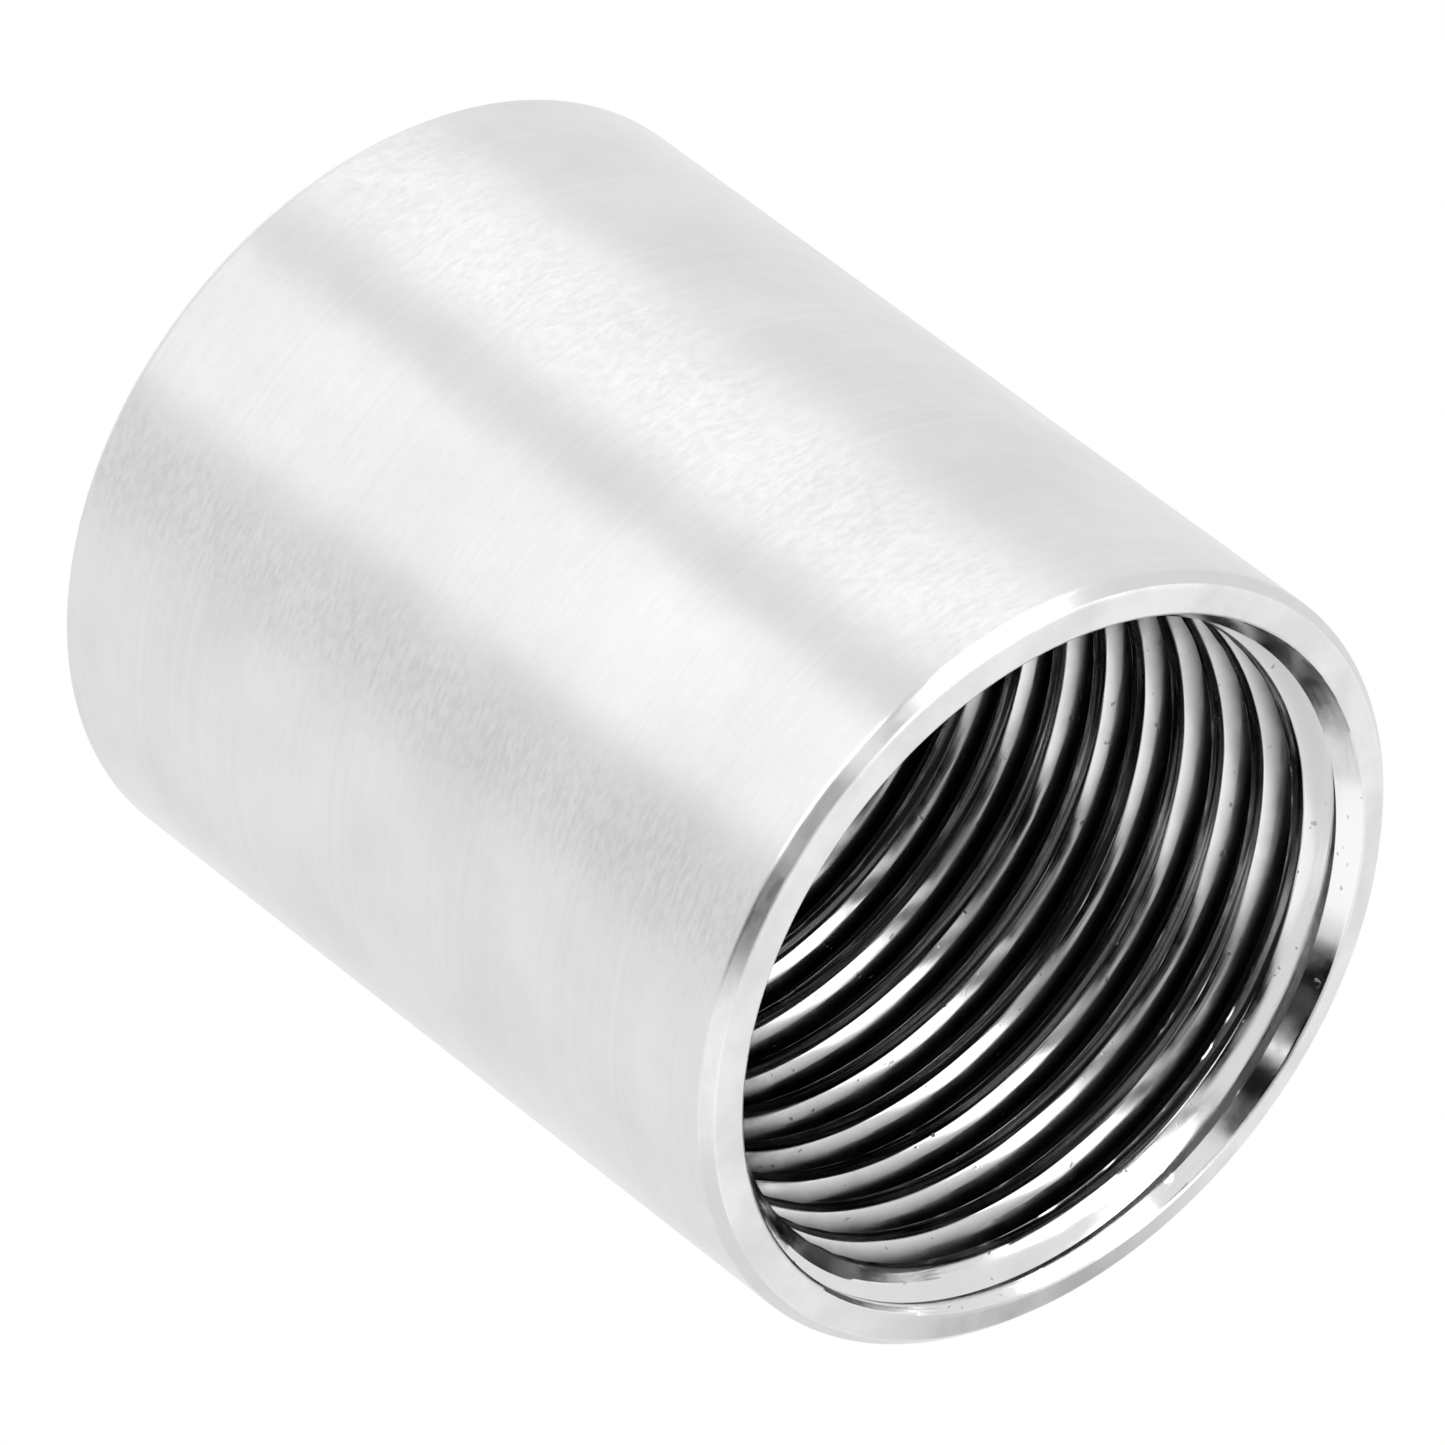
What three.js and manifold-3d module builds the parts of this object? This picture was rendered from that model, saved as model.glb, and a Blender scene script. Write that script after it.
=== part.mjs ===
// Threaded pipe coupling: one round stainless-steel socket, bored through and tapped from end to end.
// Millimetres, +Z up along the bore, origin at the centre of the lower end face.
import * as THREE from "three";
import { mergeVertices } from "three/addons/utils/BufferGeometryUtils.js";
import Module from "manifold-3d";

// Driving dimensions of the turned body.
const OUTER_DIAMETER = 18.5;
const LENGTH = 22.5;
const OUTER_CHAMFER = 0.3; // the 45 degree edge break round each end
const COUNTERSINK_DIAMETER = 16.8; // where the lead-in cone meets the end face
const COUNTERSINK_HALF_ANGLE = THREE.MathUtils.degToRad(30); // between the cone's side and the bore axis

// The 3/8 inch parallel pipe thread: 19 turns to the inch, with 55 degree flanks.
const PITCH = 25.4 / 19;
const MAJOR_DIAMETER = 16.662; // across the thread roots
const BORE_DIAMETER = 15.4; // across the flat crests that boring leaves
const FLANK_ANGLE = THREE.MathUtils.degToRad(27.5); // each flank's lean from a plane square to the axis
const ROOT_WIDTH = PITCH / 6; // the flat that stands for the rounded root
const THREAD_HAND = -1; // -1 winds left-handed, 1 right-handed
const THREAD_START = THREE.MathUtils.degToRad(210); // where the groove crosses the lower end face, about Z

const FACETS = 36; // facets in one turn, shared by the body and the thread
const CUTTER_REACH = 0.3; // how far the thread cutter reaches into the empty bore
const SPARE_TURNS = 1; // turns of cutter past each end face

const STEEL = { color: 0xd9d9d8, roughness: 0.32, metalness: 1.0 };

// The untapped body: one closed section turned about Z, chamfered outside and countersunk inside.
function turnedBlank() {
  const outer = OUTER_DIAMETER / 2;
  const bore = BORE_DIAMETER / 2;
  const mouth = COUNTERSINK_DIAMETER / 2;
  const coneDepth = (mouth - bore) / Math.tan(COUNTERSINK_HALF_ANGLE);
  const lowerEnd = [
    [bore, coneDepth],
    [mouth, 0],
    [outer - OUTER_CHAMFER, 0],
    [outer, OUTER_CHAMFER],
  ];
  const upperEnd = lowerEnd.map(([radius, height]) => [radius, LENGTH - height]).reverse();
  const section = [...lowerEnd, ...upperEnd, lowerEnd[0]];
  const points = section.map(([radius, height]) => new THREE.Vector2(radius, height));
  return new THREE.LatheGeometry(points, FACETS).rotateX(Math.PI / 2);
}

// The groove's own section: narrow at the root, wider where it opens into the bore.
function grooveSection() {
  const root = MAJOR_DIAMETER / 2;
  const inner = BORE_DIAMETER / 2 - CUTTER_REACH;
  const rootHalf = ROOT_WIDTH / 2;
  const innerHalf = rootHalf + (root - inner) * Math.tan(FLANK_ANGLE);
  return new THREE.Shape([
    new THREE.Vector2(inner, -innerHalf),
    new THREE.Vector2(root, -rootHalf),
    new THREE.Vector2(root, rootHalf),
    new THREE.Vector2(inner, innerHalf),
  ]);
}

// The thread cutter: a straight bar of the groove's section, one unit long for each turn, wound into
// a helix. In the bar, x is the distance from the bore's axis, y the height and z the turns made.
function threadCutter() {
  const turns = Math.ceil(LENGTH / PITCH) + 2 * SPARE_TURNS;
  const bar = new THREE.ExtrudeGeometry(grooveSection(), {
    depth: turns,
    steps: turns * FACETS,
    bevelEnabled: false,
  });
  const corners = bar.getAttribute("position");
  for (let i = 0; i < corners.count; i++) {
    const radius = corners.getX(i);
    const turn = corners.getZ(i);
    const angle = THREAD_START + THREAD_HAND * turn * 2 * Math.PI;
    const height = corners.getY(i) + (turn - SPARE_TURNS) * PITCH;
    corners.setXYZ(i, radius * Math.cos(angle), radius * Math.sin(angle), height);
  }
  return bar;
}

const wasm = await Module();
wasm.setup();

// A closed three.js geometry as a manifold-3d solid. A geometry that was mirrored as it was bent has
// its faces pointing in, so its triangles are turned round.
function toSolid(geometry, mirrored) {
  geometry.deleteAttribute("normal");
  geometry.deleteAttribute("uv");
  const merged = mergeVertices(geometry, 1e-4);
  const triVerts = new Uint32Array(merged.index.array);
  if (mirrored) triVerts.reverse();
  return new wasm.Manifold(
    new wasm.Mesh({ numProp: 3, vertProperties: merged.attributes.position.array, triVerts }),
  );
}

// A manifold-3d solid as a three.js geometry with flat shading normals.
function toGeometry(solid) {
  const { vertProperties, triVerts } = solid.getMesh();
  const geometry = new THREE.BufferGeometry();
  geometry.setAttribute("position", new THREE.BufferAttribute(new Float32Array(vertProperties), 3));
  geometry.setIndex(new THREE.BufferAttribute(new Uint32Array(triVerts), 1));
  const flat = geometry.toNonIndexed();
  flat.computeVertexNormals();
  return flat;
}

// The finished coupling: the blank with the thread cut through it.
function couplingBody() {
  const blank = toSolid(turnedBlank(), false);
  const cutter = toSolid(threadCutter(), THREAD_HAND > 0);
  const body = new THREE.Mesh(
    toGeometry(blank.subtract(cutter)),
    new THREE.MeshStandardMaterial(STEEL),
  );
  body.name = "coupling_body";
  return body;
}

const coupling = new THREE.Group();
coupling.name = "pipe_coupling";
coupling.add(couplingBody());

export default coupling;
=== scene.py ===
"""Looks of the pipe coupling: a turned steel sleeve with a thread right through, on a pale studio floor."""

import math

import bpy
import numpy as np
from mathutils import Matrix, Vector


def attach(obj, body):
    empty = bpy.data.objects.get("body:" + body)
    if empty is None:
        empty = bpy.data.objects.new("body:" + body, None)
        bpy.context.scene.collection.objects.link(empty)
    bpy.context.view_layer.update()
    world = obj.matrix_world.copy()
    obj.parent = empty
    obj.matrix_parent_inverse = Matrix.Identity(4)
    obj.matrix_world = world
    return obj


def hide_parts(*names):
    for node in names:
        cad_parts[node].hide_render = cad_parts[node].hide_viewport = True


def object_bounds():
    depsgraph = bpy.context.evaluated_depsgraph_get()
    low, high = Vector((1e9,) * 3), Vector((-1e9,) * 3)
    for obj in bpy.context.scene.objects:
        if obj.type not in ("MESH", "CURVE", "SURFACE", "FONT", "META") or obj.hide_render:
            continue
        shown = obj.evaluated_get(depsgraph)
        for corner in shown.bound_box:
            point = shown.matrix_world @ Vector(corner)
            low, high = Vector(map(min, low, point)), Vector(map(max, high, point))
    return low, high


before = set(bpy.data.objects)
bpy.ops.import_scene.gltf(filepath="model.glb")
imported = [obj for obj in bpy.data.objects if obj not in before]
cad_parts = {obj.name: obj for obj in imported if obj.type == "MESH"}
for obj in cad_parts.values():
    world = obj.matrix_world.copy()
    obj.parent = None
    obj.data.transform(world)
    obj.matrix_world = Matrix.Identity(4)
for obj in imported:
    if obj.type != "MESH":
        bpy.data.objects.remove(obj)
cad_low, cad_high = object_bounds()

# ---------------------------------------------------------------- sizes, in millimetres
LENGTH = (cad_high.z - cad_low.z) * 1000
OUTER_RADIUS = (cad_high.x - cad_low.x) * 500

FACE_OUTER_RADIUS = 8.96      # where the flat end face meets the outer chamfer
CHAMFER_HEIGHT = 0.30
LOWER_FACE_OUTER_RADIUS = 9.05  # the lower end has the smaller chamfer
LOWER_CHAMFER_HEIGHT = 0.24
CORNER_RADIUS = 0.16          # the chamfer's corners are brushed soft
CORNER_STEPS = 4
CORNER_SHARE = 0.42           # most of a side that one rounded corner may take
HOLD = 0.012                  # how far past a rounded corner the flat surface is pinned flat

MOUTH_RADIUS = 8.38           # where the lead-in cone meets the end face
EDGE_BREAK = 0.04             # the small bevel on that edge
CONE_HALF_ANGLE = math.radians(30)

PITCH = 25.4 / 19
ROOT_RADIUS = 8.30
CREST_RADIUS = 7.75
GROOVE_HALF_WIDTH = 0.480     # at the crests
CREST_SLOPE = 1.20            # rise over run of a flank near the crests
ROOT_SLOPE = 2.20             # and near the roots
SLOPE_CHANGE = 0.27           # half the groove's width where the one gives way to the other
ROOT_SOFTNESS = 0.06
CREST_SOFTNESS = 0.02
BURR_HEIGHT = 0.03            # the ragged lip that the tap raised on each crest's deeper edge
BURR_WIDTH = 0.035
BURR_MEAN = 0.75              # share of BURR_HEIGHT that the lip has on average
BURR_SWING = 0.35             # how much that share wanders
BURR_LIMIT = 1.4              # the largest share
BURR_SEED = 3
BURR_WAVES = 9
BURR_MOST_TURNS = 60          # ripples round the bore in the finest wave
BURR_SLANT = 2.0              # steepest slant of a wave, in radians to the millimetre
GROOVE_DEPTH = 0.663          # depth of a groove's centre below the upper face, at GROOVE_ANGLE
GROOVE_ANGLE = math.radians(90)

BORE_RUNOUT = 0.16            # the bore's axis stands this far off the outer surface's
RUNOUT_ANGLE = math.radians(88)

COLUMNS = 240
# Depths of the rows across one pitch, in pitches below the groove's centre.
ROWS = (-0.50, -0.44, -0.405, -0.385, -0.365, -0.345, -0.32, -0.26, -0.20, -0.10,
        0.00, 0.08, 0.15, 0.21, 0.27, 0.33, 0.35, 0.37, 0.42)
SPARE_TURNS = 2               # turns of rows past each end, which the mouths flatten
FINE_STEPS = 6000             # steps down the bore in which a column's crossings are looked for
WALL_RINGS = 18
SHARP_ANGLE = math.radians(32)
TO_METRES = 0.001
MERGE_GRID = 1e7              # grid lines in a metre: points in one cell become one point

BODY, FACE, THREAD = range(3)


# ---------------------------------------------------------------- shape
def smooth_max(a, b, softness):
    """The larger of a and b, with the corner between them rounded over softness."""
    return 0.5 * (a + b + np.sqrt((a - b) ** 2 + softness ** 2))


def ripple(angle, depth):
    """Smooth noise that closes on itself round the bore, as a sum of seeded waves."""
    rng = np.random.default_rng(BURR_SEED)
    total = np.zeros(np.broadcast(angle, depth).shape)
    for _ in range(BURR_WAVES):
        turns = rng.integers(4, BURR_MOST_TURNS)
        slope = rng.uniform(-BURR_SLANT, BURR_SLANT)
        phase = rng.uniform(0, 2 * math.pi)
        total += np.sin(turns * angle + slope * depth + phase)
    return total / math.sqrt(BURR_WAVES)


def thread_radius(depth, angle):
    """Radius of the tapped bore, before the cones, at a depth below the upper face."""
    turns = (depth - GROOVE_DEPTH) / PITCH - (angle - GROOVE_ANGLE) / (2 * math.pi)
    signed = (turns - np.round(turns)) * PITCH
    across = np.abs(signed)
    blunt = CREST_RADIUS + (GROOVE_HALF_WIDTH - across) * CREST_SLOPE
    steep = CREST_RADIUS + (GROOVE_HALF_WIDTH - SLOPE_CHANGE) * CREST_SLOPE
    steep = steep + (SLOPE_CHANGE - across) * ROOT_SLOPE
    flank = smooth_max(blunt, steep, ROOT_SOFTNESS)
    groove = -smooth_max(-flank, -ROOT_RADIUS, ROOT_SOFTNESS)
    ragged = BURR_MEAN + BURR_SWING * ripple(angle, depth)
    from_lip = (signed + GROOVE_HALF_WIDTH + BURR_WIDTH) / BURR_WIDTH
    burr = BURR_HEIGHT * np.clip(ragged, 0, BURR_LIMIT) * np.exp(-from_lip ** 2)
    return smooth_max(groove, CREST_RADIUS, CREST_SOFTNESS) - burr


def cone_radius(depth):
    """Radius of the lead-in cones at both ends."""
    nearest = np.minimum(depth, LENGTH - depth)
    return MOUTH_RADIUS - nearest * math.tan(CONE_HALF_ANGLE)


def bore_depths(angle):
    """Depths of one column's points, which follow the thread and stop at the mouths."""
    last = math.ceil(LENGTH / PITCH) + SPARE_TURNS
    turns = np.concatenate([t + np.array(ROWS) for t in range(-SPARE_TURNS, last)])
    free = GROOVE_DEPTH + PITCH * (turns + (angle - GROOVE_ANGLE) / (2 * math.pi))
    depths = np.clip(free, EDGE_BREAK, LENGTH - EDGE_BREAK)
    fine = np.linspace(EDGE_BREAK, LENGTH - EDGE_BREAK, FINE_STEPS)
    above = thread_radius(fine, angle) - cone_radius(fine)
    for i in np.nonzero(above[:-1] * above[1:] < 0)[0]:
        crossing = fine[i] + (fine[i + 1] - fine[i]) * above[i] / (above[i] - above[i + 1])
        depths[np.argmin(np.abs(free - crossing))] = crossing
    return np.maximum.accumulate(depths)


def rounded(before, corner, after, radius):
    """Points of the arc that rounds one corner of a profile."""
    before, corner, after = (np.array(p, float) for p in (before, corner, after))
    a = (before - corner) / np.linalg.norm(before - corner)
    b = (after - corner) / np.linalg.norm(after - corner)
    half = math.acos(float(np.clip(a @ b, -1, 1))) / 2
    shorter = min(np.linalg.norm(before - corner), np.linalg.norm(after - corner))
    reach = min(radius / math.tan(half), CORNER_SHARE * shorter)
    start, end = corner + a * reach, corner + b * reach
    points = []
    for i in range(CORNER_STEPS + 1):
        t = i / CORNER_STEPS
        points.append(tuple((1 - t) ** 2 * start + 2 * t * (1 - t) * corner + t ** 2 * end))
    return [tuple(start + a * HOLD)] + points + [tuple(end + b * HOLD)]


def outer_profile():
    """(radius, height) of the outside from the upper mouth round to the lower one."""
    top_inner = (MOUTH_RADIUS + EDGE_BREAK, LENGTH)
    top_outer = (FACE_OUTER_RADIUS, LENGTH)
    top_wall = (OUTER_RADIUS, LENGTH - CHAMFER_HEIGHT)
    low_wall = (OUTER_RADIUS, LOWER_CHAMFER_HEIGHT)
    low_outer = (LOWER_FACE_OUTER_RADIUS, 0)
    low_inner = (MOUTH_RADIUS + EDGE_BREAK, 0)
    upper = [top_inner]
    upper += rounded(top_inner, top_outer, top_wall, CORNER_RADIUS)
    upper += rounded(top_outer, top_wall, low_wall, CORNER_RADIUS)
    lower = rounded(top_wall, low_wall, low_outer, CORNER_RADIUS)
    lower += rounded(low_wall, low_outer, low_inner, CORNER_RADIUS)
    wall = [(OUTER_RADIUS, z) for z in np.linspace(upper[-1][1], lower[0][1], WALL_RINGS + 2)[1:-1]]
    return upper + wall + lower + [low_inner]


def coupling_points():
    """Grid of points, columns by closed section, and the number of them that line the bore."""
    columns = []
    shift = np.array([math.cos(RUNOUT_ANGLE), math.sin(RUNOUT_ANGLE)]) * BORE_RUNOUT
    profile = outer_profile()
    for k in range(COLUMNS):
        angle = 2 * math.pi * k / COLUMNS
        out = np.array([math.cos(angle), math.sin(angle)])
        depths = bore_depths(angle)
        radii = np.maximum(thread_radius(depths, angle), cone_radius(depths))
        inner = [(*(out * r + shift), LENGTH - d) for r, d in zip(radii, depths)]
        outer = []
        for i, (r, z) in enumerate(profile):
            at_mouth = i in (0, len(profile) - 1)
            outer.append((*(out * r + (shift if at_mouth else 0)), z))
        columns.append(inner + outer[::-1])
    return np.array(columns), len(columns[0]) - len(profile)


def coupling_faces(bore_rows, all_rows):
    """Triangles of the closed section, stepping one pitch of rows where the helix closes."""
    step = len(ROWS)
    faces, slots = [], []
    profile_rows = all_rows - bore_rows
    bevel = CORNER_STEPS + 3
    for k in range(COLUMNS):
        n = (k + 1) % COLUMNS
        jump = step if n == 0 else 0
        for j in range(bore_rows - 1):
            a, b = k * all_rows + j, k * all_rows + j + 1
            c = n * all_rows + min(j + 1 + jump, bore_rows - 1)
            d = n * all_rows + min(j + jump, bore_rows - 1)
            faces += [(a, b, c), (a, c, d)]
            slots += [THREAD, THREAD]
        if jump:
            for j in range(jump):
                a = k * all_rows
                faces.append((a, n * all_rows + j + 1, n * all_rows + j))
                slots.append(THREAD)
        for j in range(bore_rows - 1, all_rows):
            a, b = k * all_rows + j, k * all_rows + (j + 1) % all_rows
            c, d = n * all_rows + (j + 1) % all_rows, n * all_rows + j
            row = j - bore_rows
            flat = row < bevel or row > profile_rows - 2 - bevel
            faces += [(a, b, c), (a, c, d)]
            slots += [FACE if flat else BODY] * 2
    return faces, slots


def make_coupling():
    """The whole sleeve as one closed mesh."""
    grid, bore_rows = coupling_points()
    all_rows = grid.shape[1]
    points = grid.reshape(-1, 3) * TO_METRES
    faces, slots = coupling_faces(bore_rows, all_rows)
    keys = np.round(points * MERGE_GRID).astype(np.int64)
    _, first, same = np.unique(keys, axis=0, return_index=True, return_inverse=True)
    same = same.reshape(-1)
    kept, kept_slots = [], []
    for face, slot in zip(faces, slots):
        merged = [int(same[i]) for i in reversed(face)]
        if len(set(merged)) == 3:
            kept.append(merged)
            kept_slots.append(slot)
    mesh = bpy.data.meshes.new("coupling")
    mesh.from_pydata([tuple(points[i]) for i in first], [], kept)
    mesh.polygons.foreach_set("material_index", kept_slots)
    mesh.update()
    mesh.shade_smooth()
    mesh.set_sharp_from_angle(angle=SHARP_ANGLE)
    piece = bpy.data.objects.new("coupling", mesh)
    bpy.context.collection.objects.link(piece)
    return piece


# ---------------------------------------------------------------- materials
ROOT_SHADE_FULL = 1.9               # millimetres from a mouth where the painted shade in the roots is at its darkest
ROOT_SHADE_NONE = 0.8               # and where the roots have no painted shade yet
DULL_ANGLE = math.radians(40)  # middle of the dull patch on the upper face
DULL_RADIUS = 0.0087           # from the axis, in metres
DULL_CORE = 0.001              # metres from its middle where the patch starts to fade
DULL_REACH = 0.006             # and where it has gone
DULL_PLACE = (DULL_RADIUS * math.cos(DULL_ANGLE), DULL_RADIUS * math.sin(DULL_ANGLE), LENGTH * TO_METRES)


class Nodes:
    """Short calls for building one node tree."""

    def __init__(self, tree):
        self.tree = tree
        tree.nodes.clear()

    def add(self, kind, inputs=None, **settings):
        node = self.tree.nodes.new(kind)
        for key, value in settings.items():
            setattr(node, key, value)
        for key, value in (inputs or {}).items():
            self.put(node.inputs[key], value)
        return node

    def put(self, socket, value):
        if isinstance(value, bpy.types.NodeSocket):
            self.tree.links.new(value, socket)
        else:
            socket.default_value = value

    def math(self, operation, *values):
        node = self.add("ShaderNodeMath", operation=operation)
        for socket, value in zip(node.inputs, values):
            self.put(socket, value)
        return node.outputs[0]

    def remap(self, value, low, high, to_low, to_high):
        node = self.add("ShaderNodeMapRange", {"Value": value, "From Min": low, "From Max": high,
                                               "To Min": to_low, "To Max": to_high},
                        interpolation_type="SMOOTHSTEP")
        return node.outputs["Result"]

    def noise(self, vector, scale, detail=2.0, roughness=0.5):
        node = self.add("ShaderNodeTexNoise", {"Vector": vector, "Scale": scale, "Detail": detail,
                                               "Roughness": roughness})
        return node.outputs["Fac"]

    def colour(self, factor, low, high):
        node = self.add("ShaderNodeMix", data_type="RGBA")
        self.put(node.inputs["Factor"], factor)
        self.put(node.inputs[6], low)
        self.put(node.inputs[7], high)
        return node.outputs[2]


def grey(level):
    return (level, level, level, 1.0)


def scaled(nodes, vector, scale):
    node = nodes.add("ShaderNodeMapping", {"Vector": vector, "Scale": scale})
    return node.outputs["Vector"]


def steel(name, build):
    material = bpy.data.materials.new(name)
    material.use_nodes = True
    nodes = Nodes(material.node_tree)
    place = nodes.add("ShaderNodeTexCoord").outputs["Object"]
    shader = nodes.add("ShaderNodeBsdfPrincipled", {"Metallic": 1.0})
    build(nodes, place, shader)
    out = nodes.add("ShaderNodeOutputMaterial")
    nodes.tree.links.new(shader.outputs[0], out.inputs["Surface"])
    return material


def bore_radius(nodes, place):
    """Distance from the bore's own axis, in millimetres."""
    runout = BORE_RUNOUT * TO_METRES
    axis = (math.cos(RUNOUT_ANGLE) * runout, math.sin(RUNOUT_ANGLE) * runout, 0)
    local = nodes.add("ShaderNodeVectorMath", {0: place, 1: axis}, operation="SUBTRACT").outputs[0]
    across = (1 / TO_METRES, 1 / TO_METRES, 0)
    flat = nodes.add("ShaderNodeVectorMath", {0: local, 1: across}, operation="MULTIPLY").outputs[0]
    return nodes.add("ShaderNodeVectorMath", {0: flat}, operation="LENGTH").outputs["Value"]


def brushed_wall(nodes, place, shader):
    """Fine turning lines round the outside, which stretch reflections along the axis."""
    lines = nodes.noise(scaled(nodes, place, (90, 90, 9000)), 1.0, 4.0, 0.65)
    grain = nodes.noise(scaled(nodes, place, (3500, 3500, 9000)), 1.0, 2.0, 0.6)
    cloud = nodes.noise(place, 260.0, 4.0, 0.6)
    spots = nodes.noise(scaled(nodes, place, (700, 700, 1500)), 1.0, 1.0, 0.4)
    nick = nodes.remap(spots, 0.78, 0.82, 0.0, 1.0)
    tone = nodes.math("MULTIPLY_ADD", lines, 0.5, nodes.math("MULTIPLY_ADD", grain, 0.35, cloud))
    shade = nodes.remap(tone, 0.55, 1.3, 0.0, 1.0)
    nodes.put(shader.inputs["Base Color"], nodes.colour(shade, grey(0.72), grey(0.82)))
    nodes.put(shader.inputs["Roughness"], nodes.remap(grain, 0.3, 0.7, 0.28, 0.36))
    nodes.put(shader.inputs["Anisotropic"], 0.95)
    nodes.put(shader.inputs["Anisotropic Rotation"], 0.25)
    tangent = nodes.add("ShaderNodeTangent", direction_type="RADIAL", axis="Z")
    nodes.put(shader.inputs["Tangent"], tangent.outputs[0])
    height = nodes.math("MULTIPLY_ADD", nick, -1.5, nodes.math("MULTIPLY_ADD", grain, 0.12, lines))
    bump = nodes.add("ShaderNodeBump", {"Strength": 0.10, "Distance": 0.00001, "Height": height})
    nodes.put(shader.inputs["Normal"], bump.outputs[0])


def turned_face(nodes, place, shader):
    """Concentric tool marks on the end faces, mottled, with one dull patch on the upper face."""
    split = nodes.add("ShaderNodeSeparateXYZ", {"Vector": place})
    flat = nodes.add("ShaderNodeCombineXYZ", {"X": split.outputs[0], "Y": split.outputs[1]})
    radius = nodes.add("ShaderNodeVectorMath", {0: flat.outputs[0]}, operation="LENGTH").outputs["Value"]
    swept = nodes.add("ShaderNodeCombineXYZ", {"X": nodes.math("MULTIPLY", split.outputs[0], 150.0),
                                               "Y": nodes.math("MULTIPLY", split.outputs[1], 150.0),
                                               "Z": nodes.math("MULTIPLY", radius, 14000.0)})
    lines = nodes.noise(swept.outputs[0], 1.0, 3.0, 0.6)
    cloud = nodes.noise(place, 500.0, 4.0, 0.6)
    mottled = nodes.colour(nodes.remap(cloud, 0.3, 0.7, 0.0, 1.0), grey(0.78), grey(0.92))
    away = nodes.add("ShaderNodeVectorMath", {0: place, 1: DULL_PLACE}, operation="DISTANCE").outputs["Value"]
    near = nodes.remap(away, DULL_CORE, DULL_REACH, 1.0, 0.0)
    dull = nodes.math("MULTIPLY", near, nodes.remap(cloud, 0.25, 0.6, 0.4, 1.0))
    nodes.put(shader.inputs["Base Color"], nodes.colour(dull, mottled, grey(0.48)))
    nodes.put(shader.inputs["Roughness"], nodes.remap(cloud, 0.3, 0.7, 0.32, 0.44))
    bump = nodes.add("ShaderNodeBump", {"Strength": 0.3, "Distance": 0.00001, "Height": lines})
    nodes.put(shader.inputs["Normal"], bump.outputs[0])


def cut_thread(nodes, place, shader):
    """Bright cut metal with drag marks along the thread and small pits, with painted shade that darkens the
    roots deeper inside the bore.
    """
    radius = bore_radius(nodes, place)
    drag = nodes.noise(scaled(nodes, place, (160, 160, 7000)), 1.0, 3.0, 0.6)
    cloud = nodes.noise(place, 700.0, 4.0, 0.6)
    bright = nodes.colour(cloud, grey(0.72), grey(0.87))
    land = nodes.remap(radius, CREST_RADIUS + 0.005, CREST_RADIUS + 0.04, 1.0, 0.0)
    streak = nodes.math("MULTIPLY", nodes.remap(drag, 0.42, 0.58, 1.0, 0.0), land)
    metal = nodes.colour(streak, bright, grey(0.08))
    deep = nodes.math("MULTIPLY_ADD", cloud, 0.16, radius)
    split = nodes.add("ShaderNodeSeparateXYZ", {"Vector": place})
    height_mm = nodes.math("MULTIPLY", split.outputs[2], 1 / TO_METRES)
    from_middle = nodes.math("ABSOLUTE", nodes.math("SUBTRACT", height_mm, LENGTH / 2))
    inside = nodes.remap(from_middle, LENGTH / 2 - ROOT_SHADE_FULL, LENGTH / 2 - ROOT_SHADE_NONE, 1.0, 0.0)
    # Painted shade: the base colour goes almost black towards the thread roots, and only more than about a
    # millimetre inside each mouth.
    root_shade = nodes.math("MULTIPLY", nodes.remap(deep, CREST_RADIUS - 0.01, ROOT_RADIUS, 0.0, 1.0), inside)
    with_root_shade = nodes.colour(root_shade, metal, grey(0.05))
    speck = nodes.noise(scaled(nodes, place, (3500, 3500, 7000)), 1.0, 2.0, 0.5)
    crest = nodes.remap(radius, CREST_RADIUS + 0.02, CREST_RADIUS + 0.09, 1.0, 0.4)
    pit = nodes.math("MULTIPLY", nodes.remap(speck, 0.70, 0.74, 0.0, 1.0), crest)
    nodes.put(shader.inputs["Base Color"], nodes.colour(pit, with_root_shade, grey(0.03)))
    nodes.put(shader.inputs["Roughness"], nodes.remap(cloud, 0.3, 0.7, 0.10, 0.22))
    height = nodes.math("MULTIPLY_ADD", pit, -2.0, drag)
    bump = nodes.add("ShaderNodeBump", {"Strength": 0.35, "Distance": 0.00001, "Height": height})
    nodes.put(shader.inputs["Normal"], bump.outputs[0])


# ---------------------------------------------------------------- studio
ROOM_LEVEL = 1.12
FLOOR_LEVEL = 1.0
FLOOR_RADIUS = 3.0
FLOOR_HEIGHT = -0.0002
SHADOW_DISC_RADIUS = 0.0083          # a dim glowing disc, painted shadow where the sleeve stands
SHADOW_DISC_HEIGHT = -0.0001
SHADOW_DISC_LEVEL = 0.12
DISC_SIDES = 96

# azimuth, half-width, elevation, half-height (degrees), soft edge (degrees), brightness
# Where panels overlap, the later one covers the earlier.
PANELS = (
    (204, 17, 35, 40, 5, 3.7),   # main light
    (234, 6, 0, 9, 4, 0.0),      # low dark gap beside it, which changes the picture very little
    (234, 6, 56, 28, 4, 0.2),
    (281, 25, 39, 26, 4, 0.0),   # dark screens
    (301, 10, 20, 40, 4, 0.0),
    (281, 2, 18, 16, 1, 1.6),    # bright slit, seen as a thin streak in the cone
    (260, 18, 3, 4, 3, 11.0),    # low bright strip, seen in the wall, the outer chamfer and the cone
    (340, 17, 20, 36, 6, 1.5),   # fill light, seen in the outer chamfer and the cone
)


def panel_mask(nodes, value, middle, half, soft, wraps):
    """1 inside a band of directions, falling to 0 over the soft edge."""
    away = nodes.math("SUBTRACT", value, middle)
    if wraps:
        away = nodes.math("WRAP", away, 180.0, -180.0)
    return nodes.remap(nodes.math("ABSOLUTE", away), half, half + soft, 1.0, 0.0)


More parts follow.
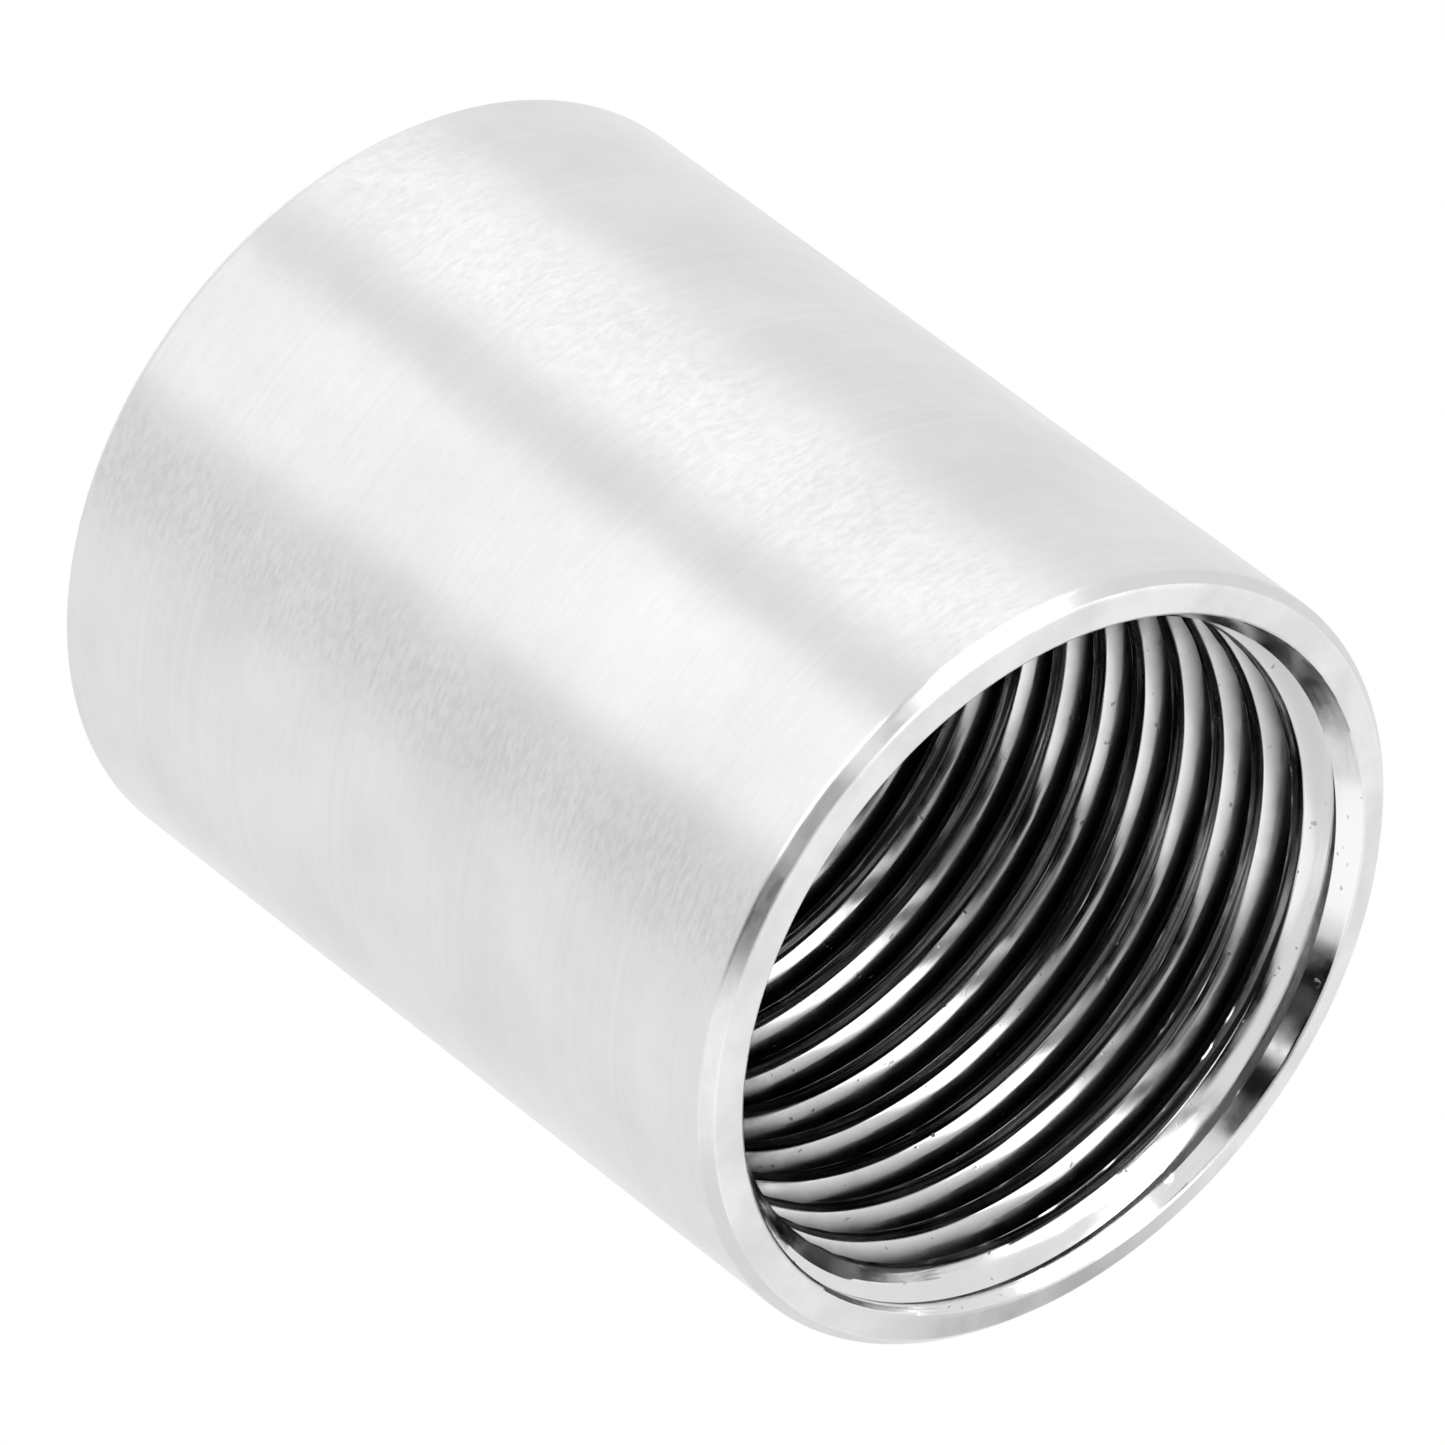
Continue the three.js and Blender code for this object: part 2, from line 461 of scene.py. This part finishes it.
def make_room():
    """A white room with a few soft panels and dark screens, shown plain white to the camera."""
    world = bpy.data.worlds.new("studio")
    bpy.context.scene.world = world
    world.use_nodes = True
    nodes = Nodes(world.node_tree)
    direction = nodes.add("ShaderNodeTexCoord").outputs["Generated"]
    split = nodes.add("ShaderNodeSeparateXYZ", {"Vector": direction})
    azimuth = nodes.math("DEGREES", nodes.math("ARCTAN2", split.outputs[1], split.outputs[0]))
    elevation = nodes.math("DEGREES", nodes.math("ARCSINE", split.outputs[2]))
    level = ROOM_LEVEL
    for az, half_width, el, half_height, soft, bright in PANELS:
        mask = nodes.math("MULTIPLY",
                          panel_mask(nodes, azimuth, az, half_width, soft, True),
                          panel_mask(nodes, elevation, el, half_height, soft, False))
        mix = nodes.add("ShaderNodeMix", data_type="FLOAT")
        nodes.put(mix.inputs[0], mask)
        nodes.put(mix.inputs[2], level)
        nodes.put(mix.inputs[3], float(bright))
        level = mix.outputs[0]
    lit = nodes.add("ShaderNodeBackground", {"Strength": level})
    plain = nodes.add("ShaderNodeBackground", {"Strength": FLOOR_LEVEL})
    seen = nodes.add("ShaderNodeLightPath").outputs["Is Camera Ray"]
    both = nodes.add("ShaderNodeMixShader", {0: seen, 1: lit.outputs[0], 2: plain.outputs[0]})
    out = nodes.add("ShaderNodeOutputWorld")
    nodes.tree.links.new(both.outputs[0], out.inputs["Surface"])


def glowing_disc(name, radius, height, level, material_name):
    """A flat round part of the stage that shines evenly."""
    mesh = bpy.data.meshes.new(name)
    turns = [2 * math.pi * i / DISC_SIDES for i in range(DISC_SIDES)]
    ring = [(radius * math.cos(turn), radius * math.sin(turn), height) for turn in turns]
    mesh.from_pydata(ring, [], [tuple(range(DISC_SIDES))])
    piece = bpy.data.objects.new(name, mesh)
    bpy.context.collection.objects.link(piece)
    material = bpy.data.materials.new(material_name)
    material.use_nodes = True
    nodes = Nodes(material.node_tree)
    glow = nodes.add("ShaderNodeEmission", {"Strength": level})
    out = nodes.add("ShaderNodeOutputMaterial")
    nodes.tree.links.new(glow.outputs[0], out.inputs["Surface"])
    mesh.materials.append(material)


def make_floor():
    """A lit white floor, with a dim glowing disc as painted shadow where the sleeve stands on it."""
    glowing_disc("floor", FLOOR_RADIUS, FLOOR_HEIGHT, FLOOR_LEVEL, "lit_floor")
    # Painted shadow: a dimly glowing disc under the sleeve stands in for the shade beneath and inside it.
    glowing_disc("painted_shadow_disc", SHADOW_DISC_RADIUS, SHADOW_DISC_HEIGHT, SHADOW_DISC_LEVEL, "painted_shadow_floor")


# ---------------------------------------------------------------- camera
# Place in metres, and the directions behind and above the camera, in the object's frame.
CAMERA_PLACE = (-0.04208, -0.31803, 0.27493)
CAMERA_BACK = (-0.10157, -0.76594, 0.63483)
CAMERA_UP = (-0.84207, -0.27360, -0.46483)
FOCAL_WIDTHS = 13.462         # focal length over the width of the picture
SENSOR_WIDTH = 36.0


def make_camera():
    """A long lens, turned on its side so that the bore looks down to the right."""
    data = bpy.data.cameras.new("camera")
    data.sensor_width = SENSOR_WIDTH
    data.lens = SENSOR_WIDTH * FOCAL_WIDTHS
    data.clip_start = 0.01
    data.clip_end = 20
    camera = bpy.data.objects.new("camera", data)
    back = Vector(CAMERA_BACK).normalized()
    right = Vector(CAMERA_UP).cross(back).normalized()
    up = back.cross(right)
    turn = Matrix((right, up, back)).transposed()
    camera.matrix_world = Matrix.Translation(CAMERA_PLACE) @ turn.to_4x4()
    bpy.context.collection.objects.link(camera)
    bpy.context.scene.camera = camera


coupling = make_coupling()
for material in (steel("brushed_wall", brushed_wall), steel("turned_face", turned_face),
                 steel("cut_thread", cut_thread)):
    coupling.data.materials.append(material)
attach(coupling, "root")
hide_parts("coupling_body")

make_room()
make_floor()
make_camera()
bpy.context.scene.view_settings.view_transform = "Standard"
